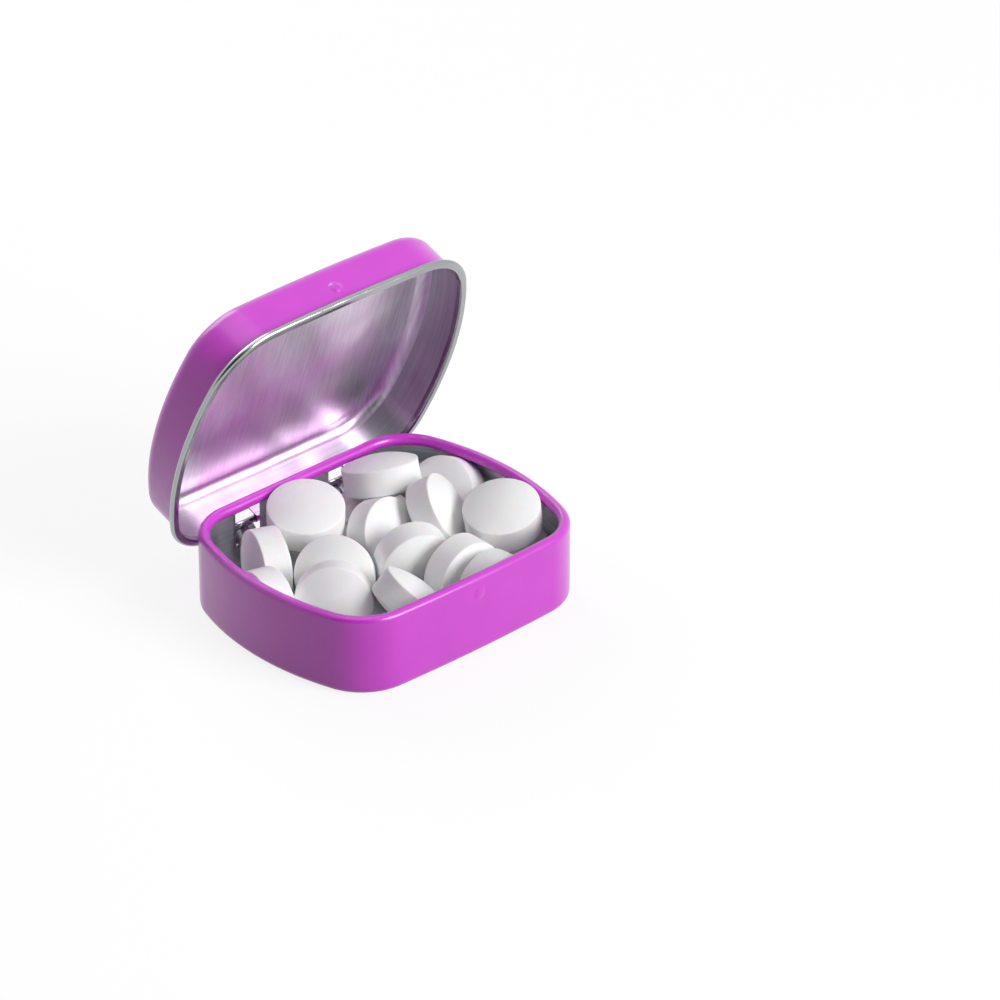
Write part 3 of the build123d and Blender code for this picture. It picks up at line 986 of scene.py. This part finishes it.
# %% Room
matt_strength, gloss_strength = 0.24, 1.0
dark_side, dark_from, dark_to, dark_strength = (-0.75, -0.56, 0.35), 0.45, 0.9, 0.08
world = bpy.data.worlds.new("studio")
bpy.context.scene.world = world
world.use_nodes = True
tree = world.node_tree
way = add_node(tree, "ShaderNodeTexCoord").outputs["Generated"]
facing = add_node(tree, "ShaderNodeVectorMath", {0: way, 1: dark_side}, operation="DOT_PRODUCT")
shade = ranged(tree, facing.outputs["Value"], dark_from, dark_to, 1.0, dark_strength)
rays = add_node(tree, "ShaderNodeLightPath").outputs
level = ranged(tree, rays["Is Glossy Ray"], 0, 1, matt_strength, gloss_strength)
room = tree.nodes["Background"]
feed(tree, room, {"Color": (1, 1, 1, 1), "Strength": calc(tree, "MULTIPLY", shade, level)})
white = add_node(tree, "ShaderNodeBackground", {"Color": (1, 1, 1, 1), "Strength": 1.0}).outputs[0]
mix = add_node(tree, "ShaderNodeMixShader", {"Fac": rays["Is Camera Ray"], 1: room.outputs[0], 2: white})
feed(tree, tree.nodes["World Output"], {"Surface": mix.outputs[0]})
print("room:", len(tree.nodes), "nodes")

# %% [markdown]
# ## Soft boxes
# The photograph's shadows are faint and wide, so its lamps were large. Three square area lights do
# that: a key light at the right, one above, and one behind that draws the edges.


# %% Soft boxes
def softbox(name, place, aim, size, power):
    """A square area light at a place, turned to an aim."""
    data = bpy.data.lights.new(name, "AREA")
    data.shape = "SQUARE"
    data.size = size
    data.energy = power
    lamp = keep(name, data)
    lamp.location = place
    lamp.rotation_mode = "QUATERNION"
    lamp.rotation_quaternion = (Vector(aim) - Vector(place)).to_track_quat("-Z", "Y")
    return lamp


lamps = [
    softbox("key_right", place=(0.22, -0.69, 0.42), aim=(0, 0, 0.02), size=0.45, power=6.2),
    softbox("top", place=(0.0, 0.05, 0.8), aim=(0, 0, 0), size=0.6, power=0.9),
    softbox("back", place=(0.05, 0.6, 0.5), aim=(0, 0, 0.02), size=0.5, power=2.4),
]
print("soft boxes in W:", {lamp.name: round(lamp.data.energy, 2) for lamp in lamps})

# %% [markdown]
# ## The camera
# A long lens from a metre away keeps the tin's edges nearly parallel, as in the photograph. The
# place could be tried by eye, but here it was fitted to the tin's outline: a direction, a distance
# along it, and a step to the right and up that leaves the tin left of the middle.

# %% Camera
camera_azimuth = radians(-42.72)
camera_elevation = radians(30.45)
camera_reach = 1015.54 * MM
camera_right = 19.30 * MM
camera_up = 16.55 * MM
camera_lens = 216
level_run = cos(camera_elevation)
back = Vector((sin(camera_azimuth) * level_run, -cos(camera_azimuth) * level_run, sin(camera_elevation)))
right = Vector((0, 0, 1)).cross(back).normalized()
up = back.cross(right)
view = bpy.data.cameras.new("camera")
view.lens = camera_lens
view.sensor_width = 36
view.clip_start, view.clip_end = 0.01, 20
camera = keep("camera", view)
camera.location = camera_reach * back + camera_right * right + camera_up * up
camera.rotation_mode = "QUATERNION"
camera.rotation_quaternion = Matrix((right, up, back)).transposed().to_quaternion()
bpy.context.scene.camera = camera
bpy.context.scene.view_settings.view_transform = "Standard"
print("camera at", [round(v, 4) for v in camera.location])

# %% Finish
bpy.context.view_layer.update()
